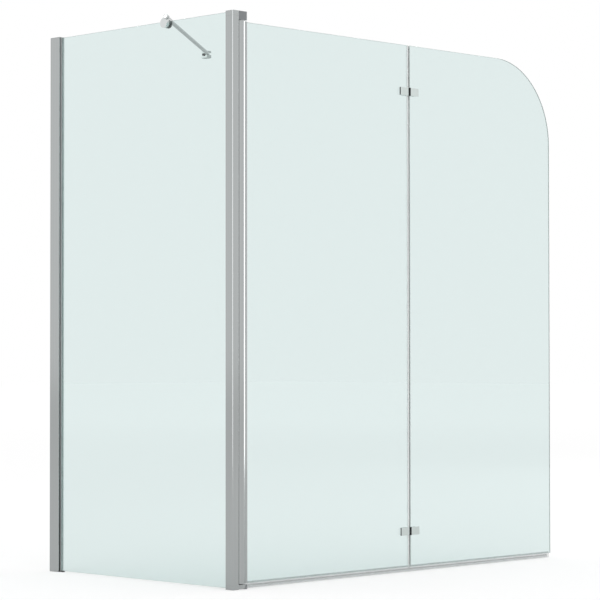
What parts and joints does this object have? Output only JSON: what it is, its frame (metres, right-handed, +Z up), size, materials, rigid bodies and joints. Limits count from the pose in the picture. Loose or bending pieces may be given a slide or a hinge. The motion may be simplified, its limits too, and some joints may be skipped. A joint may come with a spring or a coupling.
{
  "type": "folding bath screen",
  "caption": "Folding bath screen: a fixed glass return with wall profile and corner post, and a glass leaf that pivots at the post and folds at glass hinges, braced by a slanting bar.",
  "frame": {"origin": "where the middle planes of the fixed pane and of the folding panes cross, at the foot of the corner post, on the bath rim", "axes": "+X along the folding panes towards their free end, +Y along the fixed pane towards the wall, +Z up; the bathing side is towards +X and +Y"},
  "size_m": [1.2032, 0.68, 1.3815],
  "materials": {
    "profile": "bright satin anodised",
    "cap": "satin, moulded to match the profiles",
    "steel": "bright stainless",
    "black_steel": "blackened",
    "chrome": "polished",
    "hinge_metal": "satin chrome",
    "block_plastic": "fine matt",
    "bush_plastic": "smooth",
    "rubber": "smooth matt",
    "clear_pvc": "clear, flexible",
    "pad_plastic": "smooth",
    "glass": "clear, polished edges"
  },
  "bodies": {
    "fixed_side": {"wall_channel": "profile", "wall_top_cap": "cap", "wall_bottom_cap": "cap", "glazing_profile": "profile", "lock_screws": "steel", "lock_screw_covers": "cap", "channel_gaskets": "rubber", "wall_gaskets": "clear_pvc", "side_glass": "glass", "setting_blocks": "rubber", "corner_post": "profile", "post_gaskets": "clear_pvc", "post_top_cap": "cap", "post_bottom_cap": "cap", "post_seal": "rubber", "top_pivot_bracket": "steel", "bottom_pivot_bracket": "steel", "bracket_screws": "steel", "top_pivot_block": "block_plastic", "bottom_pivot_seat": "profile", "bottom_pivot_block": "block_plastic", "top_pivot_pin": "steel", "bottom_pivot_pin": "steel", "bar_tube": "chrome", "bar_end_plug": "chrome", "bar_clamp": "chrome", "clamp_outer_pad": "rubber", "clamp_inner_pad": "rubber", "clamp_screw": "steel", "bar_eye": "chrome", "bar_wall_bracket": "chrome", "bar_wall_plate": "steel", "bar_swivel_pin": "steel", "bar_bracket_screw": "black_steel"},
    "inner_leaf": {"pivot_rail": "profile", "rail_top_bush": "bush_plastic", "rail_bottom_bush": "bush_plastic", "rail_gaskets": "clear_pvc", "inner_glass": "glass", "inner_bottom_seal": "clear_pvc", "inner_seam_seal": "clear_pvc", "upper_hinge_inner_plate": "hinge_metal", "lower_hinge_inner_plate": "hinge_metal", "inner_hinge_back_plates": "hinge_metal", "inner_hinge_pads": "pad_plastic", "inner_hinge_screws": "steel", "hinge_pins": "steel"},
    "outer_leaf": {"outer_glass": "glass", "outer_bottom_seal": "clear_pvc", "outer_seam_seal": "clear_pvc", "upper_hinge_outer_plate": "hinge_metal", "lower_hinge_outer_plate": "hinge_metal", "outer_hinge_back_plates": "hinge_metal", "outer_hinge_pads": "pad_plastic", "outer_hinge_screws": "steel"}
  },
  "joints": [
    {"name": "leaf_pivot", "type": "hinge", "parent": "fixed_side", "child": "inner_leaf", "pos_m": [0.02425, 0, 0], "axis": [0, 0, 1], "range_deg": [-90, 90]},
    {"name": "leaf_fold", "type": "hinge", "parent": "inner_leaf", "child": "outer_leaf", "pos_m": [0.61875, -0.007, 0], "axis": [0, 0, 1], "range_deg": [-180, 0]}
  ]
}
